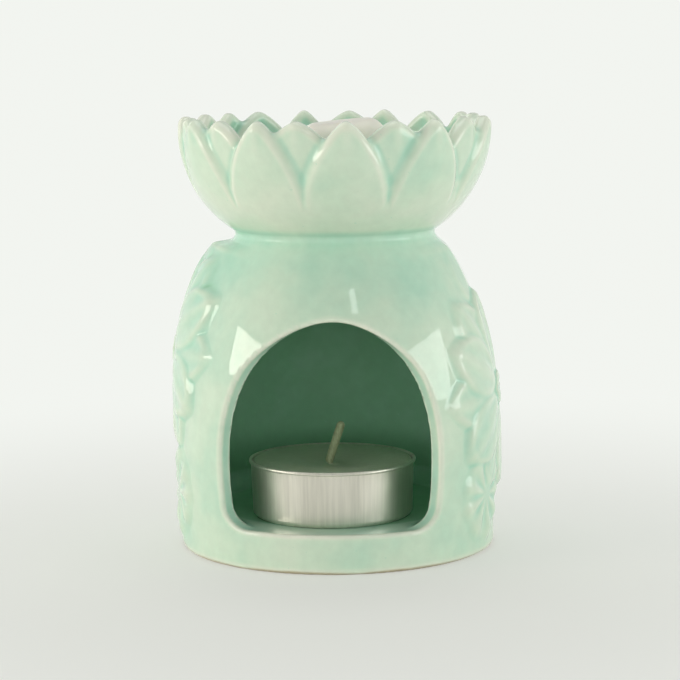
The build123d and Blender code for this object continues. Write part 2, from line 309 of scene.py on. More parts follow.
class StudioForm(PropertyGroup):
    backdrop: tint("Backdrop", "Colour of the seamless backdrop", (0.89, 0.91, 0.87))
    paper: tint("Paper", "Colour of the floor under the burner", (0.92, 0.92, 0.87))
    left_lamp: tint("Left Lamp", "Colour of the left softbox", (1.0, 0.93, 0.83))
    right_lamp: tint("Right Lamp", "Colour of the right, top and front lamps", (0.96, 1.0, 0.97))
    camera_place: spot("Camera Place", "Where the camera stands", (0.000868, -0.5323, 0.1205))
    shade_centre: spot("Shade Centre", "Where the burner's shade is deepest", (0.0, -0.045, 0.0))
    camera_pitch: angle("Camera Pitch", "Fall of the view below level", 7.8)
    camera_roll: angle("Camera Roll", "Roll of the camera", -0.649)
    lens: FloatProperty(name="Lens", description="Focal length in mm on a 36 mm frame", default=121.66)


class BurnerSettings(PropertyGroup):
    housing: PointerProperty(type=HousingForm)
    dish: PointerProperty(type=DishForm)
    left_spray: PointerProperty(type=LeftSprayForm)
    right_spray: PointerProperty(type=RightSprayForm)
    tealight: PointerProperty(type=TealightForm)
    melt: PointerProperty(type=MeltForm)
    finish: PointerProperty(type=Finish)
    studio: PointerProperty(type=StudioForm)


# Distance fields: negative inside a form, positive outside, in metres


def round_union(first, second, radius):
    """Joins two forms with a fillet of the given radius in the corner between them."""
    reach = np.hypot(np.maximum(radius - first, 0), np.maximum(radius - second, 0))
    return np.maximum(radius, np.minimum(first, second)) - reach


def soft_union(first, second, blend):
    """Joins two forms that may share a face, blended where they are closer than the blend."""
    near = np.maximum(blend - np.abs(first - second), 0)
    return np.minimum(first, second) - near * near / np.maximum(4 * blend, TINY)


def round_common(first, second, radius):
    """What two forms share, with a rounded edge where their faces meet."""
    reach = np.hypot(np.maximum(radius + first, 0), np.maximum(radius + second, 0))
    return np.minimum(-radius, np.maximum(first, second)) + reach


def soft_rise(value, start, end):
    """Rises from 0 at start to 1 at end, with no bend at either."""
    ramp = np.clip((value - start) / (end - start), 0, 1)
    return ramp**3 * (10 - 15 * ramp + 6 * ramp * ramp)


def smooth_step(value, start, end):
    """Rises smoothly from 0 at start to 1 at end."""
    ramp = np.clip((value - start) / (end - start), 0, 1)
    return ramp * ramp * (3 - 2 * ramp)


class Curve:
    """Cubic spline through values at knots, with set or free slopes at its ends."""

    def __init__(self, knots, values, first=None, last=None):
        self.knots = np.array(knots, dtype=float)
        self.values = np.array(values, dtype=float)
        gaps = np.diff(self.knots)
        rises = np.diff(self.values)
        count = len(self.knots)
        matrix = np.eye(count)
        sums = np.zeros(count)
        for index in range(1, count - 1):
            before = 1 / gaps[index - 1]
            after = 1 / gaps[index]
            matrix[index, index - 1 : index + 2] = before, 2 * (before + after), after
            sums[index] = 3 * (rises[index - 1] * before**2 + rises[index] * after**2)
        for end, inner, gap, rise, slope in (
            (0, 1, gaps[0], rises[0], first),
            (count - 1, count - 2, gaps[-1], rises[-1], last),
        ):
            if slope is None:
                matrix[end, end] = 2
                matrix[end, inner] = 1
                sums[end] = 3 * rise / gap
            else:
                sums[end] = slope
        self.slopes = np.linalg.solve(matrix, sums)

    def at(self, place):
        """Value and slope at a place, held at the ends beyond the knots."""
        place = np.clip(place, self.knots[0], self.knots[-1])
        span = np.clip(np.searchsorted(self.knots, place) - 1, 0, len(self.knots) - 2)
        gap = self.knots[span + 1] - self.knots[span]
        t = (place - self.knots[span]) / gap
        low = self.values[span]
        rise = self.values[span + 1] - low
        start = self.slopes[span] * gap
        end = self.slopes[span + 1] * gap
        square = 3 * rise - 2 * start - end
        cube = start + end - 2 * rise
        value = low + t * (start + t * (square + t * cube))
        slope = (start + t * (2 * square + 3 * t * cube)) / gap
        return value, slope


def housing_wall(form):
    """Function of azimuth and height that gives the wall's outer radius and its slope."""
    oval_phase = 0.6
    ripples = 5
    ripple_share = 0.6
    ripple_twist = 9
    profile = Curve(
        (form.foot_round, form.belly_height, form.shoulder_height, form.neck_height),
        (form.base_radius, form.belly_radius, form.shoulder_radius, form.neck_radius),
        0.0,
        -1 / math.tan(form.neck_slope),
    )

    def wall(azimuth, height):
        radius, slope = profile.at(height)
        rise = np.clip(height / form.neck_height, 0, 1)
        ripple = ripple_share * np.sin(ripples * azimuth + ripple_twist * rise)
        stray = np.sin(2 * azimuth + oval_phase) + ripple - (1 + ripple_share)
        return radius + form.wobble * np.sin(math.pi * rise) * stray, slope

    return wall


def arch_outline(form):
    """Function of x and z that gives the distance to the arch's edge, negative in the opening."""
    curve_steps = 240
    side_steps = 60
    least_turn = 1e-6
    across, up = zip(
        (form.arch_draw_in - form.arch_left, form.floor_height),
        (-form.arch_left, form.arch_flank_height),
        (-form.arch_left_shoulder, form.arch_shoulder_height),
        (form.arch_crown_shift, form.arch_crown_height),
        (form.arch_right_shoulder, form.arch_shoulder_height),
        (form.arch_right, form.arch_flank_height),
        (form.arch_right - form.arch_draw_in, form.floor_height),
    )
    chords = np.concatenate(([0], np.cumsum(np.hypot(np.diff(across), np.diff(up)))))
    along = np.linspace(0, chords[-1], curve_steps)
    side_z = up[0] - np.linspace(0, form.base_radius, side_steps)[1:]
    right_x, left_x = (np.full(side_steps - 1, end) for end in (across[-1], across[0]))
    low_x = np.linspace(across[-1], across[0], side_steps)
    low_z = np.full(side_steps, up[0] - form.base_radius)
    edge_x = np.concatenate((Curve(chords, across).at(along)[0], right_x, low_x, left_x))
    edge_z = np.concatenate((Curve(chords, up).at(along)[0], side_z, low_z, side_z[::-1]))
    centre_x = (form.arch_right - form.arch_left) / 2
    centre_z = form.arch_flank_height
    turns = np.arctan2(edge_z - centre_z, edge_x - centre_x)
    order = np.argsort(turns)
    turns = turns[order]
    reaches = np.hypot(edge_x - centre_x, edge_z - centre_z)[order]
    keep = np.concatenate(([True], np.diff(turns) > least_turn))
    turns = turns[keep]
    reaches = reaches[keep]
    leans = np.gradient(reaches, turns) / reaches

    def outline(x, z):
        turn = np.arctan2(z - centre_z, x - centre_x)
        reach = np.hypot(x - centre_x, z - centre_z)
        edge = np.interp(turn, turns, reaches, period=TURN)
        lean = np.interp(turn, turns, leans, period=TURN)
        return (reach - edge) / np.sqrt(1 + lean * lean)

    return outline


def housing_field(form):
    """Distance field of the housing: revolved wall, coved floor, foot ring and arch."""
    wall = housing_wall(form)
    outline = arch_outline(form)
    crown_start = form.arch_crown_height - 13 * MM
    crown_loss = 0.8

    def field(points):
        x, y, z = points.T
        spread = np.hypot(x, y)
        radius, slope = wall(np.arctan2(x, -y), z)
        upright = 1 / np.sqrt(1 + slope * slope)
        outside = round_common((spread - radius) * upright, -z, form.foot_round)
        outside = np.maximum(outside, z - form.neck_height)
        recess = np.maximum(spread - form.base_radius + form.foot_width, z - form.foot_recess)
        outside = round_common(outside, -recess, form.foot_round / 2)
        chamber = (spread - radius + form.wall) * upright
        inward = np.clip((radius - spread) / form.lip_flare_depth, 0, 1)
        flare = form.lip_flare * (1 - crown_loss * smooth_step(z, crown_start, form.arch_crown_height))
        opening = np.maximum(outline(x, z) - flare * (1 - inward), y)
        hollow = round_union(chamber, opening, form.lip_inner_round)
        hollow = round_common(hollow, form.floor_height - z, form.floor_round)
        return round_common(outside, -hollow, form.lip_round)

    return field


def row_face(row_radius, foot_radius, form):
    """Centre radius and arc radius of a face that stands upright at the swell."""
    reach = row_radius - foot_radius
    rise = form.swell_height - form.foot_height
    arc = (reach * reach + rise * rise) / (2 * reach)
    return row_radius - arc, arc


def petal_azimuth(index, form):
    """Turn of a petal, with spacing that widens a little to one side."""
    turn = TURN * index / form.count
    half = form.count // 2
    sway = form.sway * math.sin(SWAY_STEP * ((index + half) % form.count - half))
    return form.front_azimuth + turn + form.drift * (1 - math.cos(turn)) + sway


def dish_field(form, neck_bore, wall):
    """Distance field of the dish: a plain cup inside two rows of crowned petals."""
    neck_radius = neck_bore + wall
    tip_stray = 0.1 * MM
    pinch_start = 9 * MM
    pinch_end = 1 * MM
    pinch_width = 1.4 * MM
    inner_swell = 0.6

    def face(spread, z, row_radius, foot_radius):
        centre, arc = row_face(row_radius, foot_radius, form)
        return np.hypot(spread - centre, z - form.swell_height) - arc

    def petal(index, away, spread, z):
        outer = index % 2 == 0
        row_radius = form.radius if outer else form.radius - form.row_step
        half = form.outer_half_width if outer else form.inner_half_width
        widest = form.outer_widest if outer else form.inner_widest
        tip = form.tip_height + tip_stray * (math.cos(TIP_STEP * index) - 1)
        half = half * (1 + PETAL_STRAY * math.sin(WIDTH_STEP * index))
        across = spread * np.sin(away)
        soft = np.sqrt(across * across + form.tip_round**2) - form.tip_round
        rise = tip - widest
        side = (half * half + rise * rise) / (2 * half)
        outline = np.hypot(soft - half + side, np.maximum(z - widest, 0)) - side
        share_across = np.clip(across / half, -1, 1)
        swell = form.crown * (1 - share_across * share_across - 0.5)
        climb = smooth_step(z, form.band_height, form.swell_height)
        pinch = smooth_step(z, tip - pinch_start, tip - pinch_end)
        pinch = pinch * np.exp(-((across / pinch_width) ** 2))
        swell = swell * climb + form.ridge * pinch
        outer_face = face(spread, z, row_radius, neck_radius) - swell
        inner_radius = row_radius - form.thickness
        inner_face = face(spread, z, inner_radius, form.face_foot_radius) - inner_swell * swell
        shell = np.maximum(outer_face, -inner_face)
        return round_common(shell, outline, form.edge_round)

    def field(points):
        x, y, z = points.T
        spread = np.hypot(x, y)
        azimuth = np.arctan2(x, -y)
        cup_radius = form.radius - form.row_step
        hollow = face(spread, z, cup_radius - form.thickness, form.face_foot_radius)
        hollow = round_common(hollow, form.floor_height - z, form.floor_round)
        clear = smooth_step(z, form.band_height, form.band_height + form.petal_rise)
        cup = face(spread, z, form.radius - form.row_step * clear, neck_radius)
        cup = round_common(cup, z - form.cup_height, form.edge_round)
        cup = round_common(cup, -hollow, form.edge_round)
        dish = cup.copy()
        for first in (1, 0):
            for index in range(first, form.count, 2):
                away = (azimuth - petal_azimuth(index, form) + math.pi) % TURN - math.pi
                near = np.abs(away) < form.petal_window
                leaf = petal(index, away[near], spread[near], z[near])
                dish[near] = soft_union(dish[near], leaf, form.crease_round * clear[near])
        rise = form.ceiling_height - form.foot_height
        vault = spread - neck_bore + wall * np.clip((z - form.foot_height) / rise, 0, 1)
        vault = np.maximum(vault, z - form.ceiling_height)
        return np.maximum(np.maximum(dish, -vault), form.foot_height - z)

    return field


def melt_field(form, foot_height):
    """Distance field of the wax melt: a drafted block with a sloping, softened top."""
    top_x = form.place_x + form.width / 4
    foot_round = 0.8 * MM
    lump_height = 0.25 * MM
    waves = (0.31, 0.37, 0.29)
    phase = 1.0
    droop = 0.5
    droop_power = 1.5

    def field(points):
        x, y, z = points.T
        draft = (z - foot_height) * math.tan(form.taper)
        lump = lump_height * np.sin(x / MM * waves[0] + phase) * np.sin(y / MM * waves[1])
        lump = lump * np.sin(z / MM * waves[2])
        beyond_x = np.abs(x - form.place_x) - form.width / 2 + draft
        beyond_y = np.abs(y) - form.depth / 2 + draft
        sides = round_common(beyond_x, beyond_y, form.corner)
        fall = np.maximum(top_x - x, 0) * math.tan(form.slope)
        fall = fall + droop * np.maximum(x - top_x, 0) ** droop_power
        top = z - form.top_height + fall
        block = round_common(sides, top, form.edge_round)
        return round_common(block, foot_height - z, foot_round) + lump

    return field


# Meshes


def surface_net(field, low, high, grain):
    """Quads of the surface where a field is zero, one point in each cell that it crosses."""
    axes = [np.arange(start - 2 * grain, end + 3 * grain, grain) for start, end in zip(low, high)]
    grid = np.stack(np.meshgrid(*axes, indexing="ij"), axis=-1)
    values = field(grid.reshape(-1, 3)).reshape(grid.shape[:3])
    solid = values < 0
    cells = np.array(solid.shape) - 1
    corners = [(i, j, k) for i in (0, 1) for j in (0, 1) for k in (0, 1)]

    def corner(block, offset):
        return block[tuple(slice(o, o + n) for o, n in zip(offset, cells))]

    filled = sum(corner(solid, offset).astype(np.int8) for offset in corners)
    crossed = (filled > 0) & (filled < len(corners))
    numbers = np.full(cells, -1)
    numbers[crossed] = np.arange(np.count_nonzero(crossed))
    at_corner = {offset: corner(values, offset)[crossed] for offset in corners}
    total = np.zeros((np.count_nonzero(crossed), 3))
    hits = np.zeros(len(total))
    for offset in corners:
        for axis in range(3):
            if offset[axis]:
                continue
            other = tuple(o + (index == axis) for index, o in enumerate(offset))
            start = at_corner[offset]
            end = at_corner[other]
            hit = (start < 0) != (end < 0)
            place = np.tile(np.array(offset, dtype=float), (len(start), 1))
            place[:, axis] = start / np.where(hit, start - end, 1)
            total += place * hit[:, None]
            hits += hit
    points = (np.argwhere(crossed) + total / hits[:, None]) * grain + [axis[0] for axis in axes]
    quads = []
    for axis in range(3):
        one = np.eye(3, dtype=int)[(axis + 1) % 3]
        two = np.eye(3, dtype=int)[(axis + 2) % 3]
        lower = tuple(slice(0, -1) if index == axis else slice(1, -1) for index in range(3))
        upper = tuple(slice(1, None) if index == axis else slice(1, -1) for index in range(3))
        change = solid[lower] != solid[upper]
        edge = np.argwhere(change) + 1 - np.eye(3, dtype=int)[axis]
        ring = [edge - one - two, edge - two, edge, edge - one]
        quad = np.stack([numbers[tuple(cell.T)] for cell in ring], axis=1)
        outward = solid[lower][change]
        quad[~outward] = quad[~outward][:, ::-1]
        quads.append(quad)
    return points, np.concatenate(quads)


def slopes_of(field, points, probe):
    """Gradient of a field at points."""
    slopes = np.empty_like(points)
    for axis in range(3):
        step = np.eye(3)[axis] * probe
        slopes[:, axis] = (field(points + step) - field(points - step)) / (2 * probe)
    return slopes


def settled(field, points, grain):
    """Points moved onto a field's surface, with the outward directions there."""
    probe = grain / 12
    least_square = 0.2
    for _ in range(3):
        slopes = slopes_of(field, points, probe)
        square = np.maximum(np.sum(slopes * slopes, axis=1), least_square)
        shift = np.clip(field(points) / square, -grain / 2, grain / 2)
        points = points - slopes * shift[:, None]
    slopes = slopes_of(field, points, probe)
    return points, slopes / np.maximum(np.linalg.norm(slopes, axis=1), TINY)[:, None]


def hollowness(field, points, reach):
    """How hollow the surface is round each point: above 0 in creases, below 0 over edges."""
    total = -6 * field(points)
    for axis in range(3):
        step = np.eye(3)[axis] * reach
        total += field(points + step) + field(points - step)
    return np.clip(-total / reach, EDGE_POOL, CREASE_POOL)


def add_piece(name, points, faces, normals=None, pool=None, sharp=None):
    """New smooth mesh object, with its glaze thickness and the bend in degrees that stays sharp."""
    mesh = bpy.data.meshes.new(name)
    mesh.from_pydata(points.tolist(), [], [list(face) for face in faces])
    mesh.polygons.foreach_set("use_smooth", np.ones(len(mesh.polygons), dtype=bool))
    if pool is not None:
        layer = mesh.attributes.new("pool", "FLOAT", "POINT")
        layer.data.foreach_set("value", pool.astype(np.float32))
    mesh.update()
    if normals is not None:
        mesh.normals_split_custom_set_from_vertices(normals.tolist())
    if sharp is not None:
        mesh.set_sharp_from_angle(angle=math.radians(sharp))
    piece = bpy.data.objects.new(name, mesh)
    bpy.context.scene.collection.objects.link(piece)
    return piece


def add_field_piece(name, field, low, high, grain, reach, pour=None):
    """Piece whose surface is where a field is zero, glazed by its hollows and by how it was poured."""
    points, quads = surface_net(field, low, high, grain)
    points, normals = settled(field, points, grain)
    pool = hollowness(field, points, reach)
    if pour is not None:
        pool = pour(points, normals, pool)
    return add_piece(name, points, quads.tolist(), normals, pool)


def lathe(profile, centre, segments):
    """Points and faces of a profile of (radius, height) turned about an upright axis."""
    turns = np.linspace(0, TURN, segments, endpoint=False)
    points = []
    rings = []
    for radius, height in profile:
        if radius < TINY:
            rings.append([len(points)] * segments)
            points.append((centre[0], centre[1], centre[2] + height))
            continue
        rings.append(list(range(len(points), len(points) + segments)))
        for turn in turns:
            x = centre[0] + radius * math.sin(turn)
            y = centre[1] - radius * math.cos(turn)
            points.append((x, y, centre[2] + height))
    faces = []
    for lower, upper in zip(rings, rings[1:]):
        for index in range(segments):
            after = (index + 1) % segments
            corners = [lower[index], lower[after], upper[after], upper[index]]
            face = list(dict.fromkeys(corners))
            if len(face) > 2:
                faces.append(face)
    return np.array(points), faces


def arc_points(centre, radius, start, end, count):
    """Points of an arc from start to end, in degrees."""
    turns = np.radians(np.linspace(start, end, count))
    return [(centre[0] + radius * math.cos(t), centre[1] + radius * math.sin(t)) for t in turns]


# Materials


def feed(tree, node, values):
    """Gives a node's inputs their values, each a socket to link or a plain value."""
    for key, value in values.items():
        if hasattr(value, "is_output"):
            tree.links.new(value, node.inputs[key])
        else:
            node.inputs[key].default_value = value


def add_node(tree, kind, values=None, **settings):
    """New shader node with its settings and the values of its inputs."""
    node = tree.nodes.new(kind)
    for key, value in settings.items():
        setattr(node, key, value)
    feed(tree, node, values or {})
    return node


def new_material(name):
    """Material with a shader, its nodes, the shader itself and the place on the piece."""
    material = bpy.data.materials.new(name)
    material.use_nodes = True
    tree = material.node_tree
    tree.nodes.clear()
    shader = add_node(tree, "ShaderNodeBsdfPrincipled")
    add_node(tree, "ShaderNodeOutputMaterial", {"Surface": shader.outputs["BSDF"]})
    place = add_node(tree, "ShaderNodeTexCoord").outputs["Object"]
    return material, tree, shader, place


def rgba(colour):
    """Colour with full opacity."""
    return (*colour, 1.0)


def add_noise(tree, place, scale, detail, stretch=None):
    """Noise over the surface, in features per metre, stretched if asked."""
    if stretch is not None:
        mapping = add_node(tree, "ShaderNodeMapping", {"Vector": place, "Scale": stretch})
        place = mapping.outputs["Vector"]
    values = {"Vector": place, "Scale": scale, "Detail": detail, "Roughness": 0.55}
    return add_node(tree, "ShaderNodeTexNoise", values).outputs["Fac"]


def add_range(tree, value, from_low, from_high, to_low, to_high, course="LINEAR"):
    """Value mapped from one range to another, with clamped ends."""
    values = {
        "Value": value,
        "From Min": from_low,
        "From Max": from_high,
        "To Min": to_low,
        "To Max": to_high,
    }
    return add_node(tree, "ShaderNodeMapRange", values, interpolation_type=course).outputs["Result"]


def spread_noise(tree, noise, low, high):
    """Noise spread from low to high."""
    return add_range(tree, noise, NOISE_LOW, NOISE_HIGH, low, high)


def add_mix(tree, amount, first, second, blend="MIX"):
    """Colours mixed by an amount; each of the three is a socket or a plain value."""
    values = {MIX_FACTOR: amount, MIX_FIRST: first, MIX_SECOND: second}
    node = add_node(tree, "ShaderNodeMix", values, data_type="RGBA", blend_type=blend)
    return node.outputs[MIX_RESULT]


def add_shade(tree, amount, colour, shade):
    """Colour that turns by an amount into a darker shade of itself."""
    return add_mix(tree, amount, rgba(colour), rgba(tuple(shade * value for value in colour)))


def add_math(tree, operation, first, second):
    """Two values joined by an operation; each is a socket or a plain number."""
    return add_node(tree, "ShaderNodeMath", {0: first, 1: second}, operation=operation).outputs["Value"]


def add_bump(tree, height, distance, strength):
    """Direction of a surface that a height socket roughens."""
    values = {"Height": height, "Distance": distance, "Strength": strength}
    return add_node(tree, "ShaderNodeBump", values).outputs["Normal"]


def glaze_colour(tree, finish, depth):
    """Colour of the glaze at a depth from 0, over edges, to 1, where the chamber's painted shade lies.
    """
    ramp = add_node(tree, "ShaderNodeValToRGB", {"Fac": depth})
    stops = ramp.color_ramp.elements
    stops[0].position = 0.05
    stops[0].color = rgba(finish.thin_glaze)
    stops[1].position = 1.0
    stops[1].color = rgba(finish.chamber_shade_glaze)
    stops.new(0.48).color = rgba(finish.glaze)
    stops.new(0.74).color = rgba(finish.pooled_glaze)
    return ramp.outputs["Color"]


def glaze_material(name, finish):
    """Celadon glaze: pale over edges, deeper in creases, darkest where shade is painted into the chamber
    and under the dish, lighter where light is painted on the dish's band, softly mottled, bare clay
    under the foot.
    """
    cloud_depth = 0.14
    gloss_spread = 0.015
    clay_roughness = 0.6
    material, tree, shader, place = new_material(name)
    clouds = add_noise(tree, place, scale=55.0, detail=3.0)
    fine = add_noise(tree, place, scale=420.0, detail=5.0)
    waves = add_noise(tree, place, scale=120.0, detail=2.0)
    pool = add_node(tree, "ShaderNodeAttribute", attribute_name="pool").outputs["Fac"]
    drift = spread_noise(tree, clouds, -cloud_depth, cloud_depth)
    depth = add_math(tree, "ADD", add_range(tree, pool, -1.0, 1.0, 0.0, 1.0), drift)
    veil = add_range(tree, fine, 0.35, 0.75, 0.97, 1.03)
    colour = add_mix(tree, 1.0, glaze_colour(tree, finish, depth), veil, "MULTIPLY")
    specks = add_range(tree, add_noise(tree, place, scale=900.0, detail=1.0), 0.76, 0.79, 0.0, 0.4)
    colour = add_mix(tree, specks, colour, rgba(finish.pooled_glaze))
    height = add_node(tree, "ShaderNodeSeparateXYZ", {"Vector": place}).outputs["Z"]
    edge = add_math(tree, "ADD", height, spread_noise(tree, clouds, -0.2 * MM, 0.4 * MM))
    bare = add_range(tree, edge, 0.4 * MM, 0.9 * MM, 1.0, 0.0)
    gloss = spread_noise(tree, fine, finish.gloss - gloss_spread, finish.gloss + gloss_spread)
    looks = {
        "Base Color": add_mix(tree, bare, colour, rgba(finish.foot_clay)),
        "Roughness": add_math(tree, "ADD", gloss, add_math(tree, "MULTIPLY", bare, clay_roughness)),
        "IOR": GLAZE_IOR,
        "Normal": add_bump(tree, waves, 0.1 * MM, 0.5),
    }
    feed(tree, shader, looks)
    return material


def aluminium_material(name, finish):
    """Drawn aluminium sheet with fine upright draw lines and soft scuffs."""
    material, tree, shader, place = new_material(name)
    lines = add_noise(tree, place, scale=1600.0, detail=2.0, stretch=(1.0, 1.0, 0.02))
    scuffs = add_noise(tree, place, scale=180.0, detail=3.0, stretch=(1.0, 1.0, 0.25))
    wear = add_range(tree, add_math(tree, "ADD", scuffs, lines), 0.75, 1.3, 0.0, 0.55)
    looks = {
        "Base Color": add_shade(tree, wear, finish.aluminium, 0.7),
        "Metallic": 1.0,
        "Roughness": spread_noise(tree, scuffs, 0.38, 0.5),
        "Normal": add_bump(tree, lines, 0.02 * MM, 0.4),
    }
    feed(tree, shader, looks)
    return material


def wax_material(name, colour, roughness, depth):
    """Wax that light enters a little way, faintly clouded and pitted."""
    material, tree, shader, place = new_material(name)
    clouds = add_noise(tree, place, scale=160.0, detail=4.0)
    pits = add_noise(tree, place, scale=700.0, detail=3.0)
    looks = {
        "Base Color": add_shade(tree, spread_noise(tree, clouds, 0.0, 0.5), colour, 0.86),
        "Roughness": spread_noise(tree, pits, roughness, roughness + 0.15),
        "Subsurface Weight": 0.35,
        "Subsurface Radius": (1.0, 0.9, 0.7),
        "Subsurface Scale": depth,
        "IOR": WAX_IOR,
        "Normal": add_bump(tree, pits, 0.1 * MM, 0.5),
    }
    feed(tree, shader, looks)
    return material


def cotton_material(name, finish):
    """Waxed cotton braid."""
    material, tree, shader, place = new_material(name)
    fibres = add_noise(tree, place, scale=2600.0, detail=4.0, stretch=(1.0, 1.0, 0.35))
    looks = {
        "Base Color": add_shade(tree, spread_noise(tree, fibres, 0.0, 1.0), finish.shaded_cotton, 0.6),
        "Roughness": 0.7,
        "Normal": add_bump(tree, fibres, 0.08 * MM, 0.8),
    }
    feed(tree, shader, looks)
    return material


def steel_material(name, finish):
    """Tinned sheet steel with rolled grain."""
    material, tree, shader, place = new_material(name)
    grain = add_noise(tree, place, scale=1500.0, detail=3.0, stretch=(0.1, 1.0, 1.0))
    looks = {
        "Base Color": add_shade(tree, spread_noise(tree, grain, 0.0, 0.5), finish.steel, 0.7),
        "Metallic": 1.0,
        "Roughness": spread_noise(tree, grain, 0.3, 0.45),
        "Normal": add_bump(tree, grain, 0.03 * MM, 0.5),
    }
    feed(tree, shader, looks)
    return material


def glaze(finish):
    """The burner's glaze, made once."""
    return bpy.data.materials.get("fired_celadon") or glaze_material("fired_celadon", finish)


def finish_piece(piece, material, body, slot, *nodes):
    """Gives a piece its material and body and hides the nodes that it stands for; the slot is not used.
    """
    piece.data.materials.clear()
    piece.data.materials.append(material)
    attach(piece, body)
    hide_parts(*nodes)


def painted_shoulder_shade(housing, z):
    """Painted shade of the dish on the shoulder at a height, drawn as thicker, darker glaze."""
    return housing.shoulder_shade_depth * smooth_step(z, housing.arch_shoulder_height, housing.neck_height)


def crease_pool(pool, crease, depth):
    """Glaze that lies at least so deep in a crease."""
    return pool + crease * (np.maximum(pool, depth) - pool)


class BURNER_OT_housing(Operator):
    """Casts the housing with its coved floor, foot ring and hand-cut arch"""

    bl_idname = "burner.housing"
    bl_label = "Glazed Housing"

    def execute(self, context):
        settings = context.scene.oil_burner
        form = settings.housing
        reach = form.belly_radius + 4 * form.wobble
        piece = add_field_piece(
            "glazed_housing",
            housing_field(form),
            (-reach, -reach, 0),
            (reach, reach, form.neck_height),
            form.grain,
            reach=0.8 * MM,
            pour=self.pouring(form),
        )
        finish_piece(piece, glaze(settings.finish), "burner", "celadon_glaze", "burner_body")
        return {"FINISHED"}

    def pouring(self, form):
        """Glaze lies thicker on the arch's inner edge; the shoulder under the dish and the chamber get
        painted shade as darker glaze, darkest in the chamber.
        """
        wall = housing_wall(form)
        lip_start = 0.1 * form.wall
        lip_end = 0.3 * form.wall
        crown_loss = 0.55

        def pour(points, normals, pool):
            x, y, z = points.T
            depth = wall(np.arctan2(x, -y), z)[0] - np.hypot(x, y)
            above = smooth_step(z, 1 * MM, form.floor_height)
            pool = pool + above * form.lip_glaze * smooth_step(depth, lip_start, lip_end)
            # Painted shade of the dish on the shoulder
            pool = pool + painted_shoulder_shade(form, z)
            # Painted shade of the chamber: deep glaze inward of the opening, starting farther in on the
            # floor and lighter towards the crown
            on_floor = 1 - smooth_step(z, form.floor_height, form.floor_height + form.floor_round)
            start = form.wall * (0.8 + 1.2 * on_floor)
            run = form.wall * (0.17 + 0.5 * on_floor)
            chamber = 1 - crown_loss * smooth_step(z, form.arch_flank_height, form.arch_crown_height)
            pool = pool + above * chamber * smooth_step(depth - start, 0, run)
            crease = smooth_step(z, form.neck_height - CREASE_REACH, form.neck_height - CREASE_CORE)
            return crease_pool(pool, crease, form.crease_glaze)

        return pour


class BURNER_OT_luting_ring(Operator):
    """Fills the crease under the dish with slip and pooled glaze"""

    bl_idname = "burner.luting_ring"
    bl_label = "Luting Ring"

    def execute(self, context):
        settings = context.scene.oil_burner
        housing = settings.housing
        dish = settings.dish
        bore = housing.neck_radius - housing.wall
        outer = self.crease_arc(housing, dish)
        profile = [(bore, housing.neck_height), *outer, (bore, dish.foot_height)]
        points, faces = lathe([*profile, profile[0]], (0, 0, 0), RING_SEGMENTS)
        pool = np.full(len(points), housing.crease_glaze)
        piece = add_piece("luting_ring", points, faces, pool=pool, sharp=RING_SHARP)
        finish_piece(piece, glaze(settings.finish), "burner", "pooled_glaze", "slip_joint")
        return {"FINISHED"}

    def crease_arc(self, housing, dish):
        """Hollow arc of pooled glaze that runs smoothly from the neck into the dish."""
        centre, arc = row_face(dish.radius, housing.neck_radius, dish)
        down = np.array((math.cos(housing.neck_slope), -math.sin(housing.neck_slope)))
        up = np.array((dish.swell_height - dish.foot_height, housing.neck_radius - centre)) / arc
        rise = np.array((0, dish.foot_height - housing.neck_height))
        steps = np.linalg.solve(np.stack((down, -up), axis=1), rise)
        corner = np.array((housing.neck_radius, housing.neck_height)) + steps[0] * down
        half = math.acos(down @ up) / 2
        radius = housing.crease_round
        middle = corner + (down + up) / np.linalg.norm(down + up) * radius / math.sin(half)
        sides = [corner + way * radius / math.tan(half) - middle for way in (down, up)]
        turns = [math.degrees(math.atan2(side[1], side[0])) % 360 for side in sides]
        return arc_points(middle, radius, *turns, 17)


class BURNER_OT_dish(Operator):
    """Casts the lotus dish with its two rows of petals"""

    bl_idname = "burner.dish"
    bl_label = "Lotus Dish"

    def execute(self, context):
        settings = context.scene.oil_burner
        form = settings.dish
        housing = settings.housing
        reach = form.radius + form.crown
        piece = add_field_piece(
            "lotus_dish",
            dish_field(form, housing.neck_radius - housing.wall, housing.wall),
            (-reach, -reach, form.foot_height),
            (reach, reach, form.tip_height),
            form.grain,
            reach=1.0 * MM,
            pour=self.pouring(form, housing),
        )
        finish_piece(piece, glaze(settings.finish), "burner", "celadon_glaze", "lotus_bowl")
        return {"FINISHED"}

    def pouring(self, form, housing):
        """The plain band gets painted light as thinner, paler glaze; glaze lies thicker inside the dish
        and in the crease under it.
        """
        inside_glaze = 0.2

        def pour(points, normals, pool):
            x, y, z = points.T
            inward = -(normals[:, 0] * x + normals[:, 1] * y) / np.hypot(x, y)
            pool = pool + inside_glaze * smooth_step(inward, 0.1, 0.7)
            below = 1 - smooth_step(z, form.band_height, form.band_height + form.petal_rise)
            # Painted light on the plain band: thinner, paler glaze below the petals
            pool = pool - form.band_painted_light * below * (1 - smooth_step(inward, -0.3, 0.1))
            crease = 1 - smooth_step(z, form.foot_height + CREASE_CORE, form.foot_height + CREASE_REACH)
            return crease_pool(pool, crease, housing.crease_glaze)

        return pour


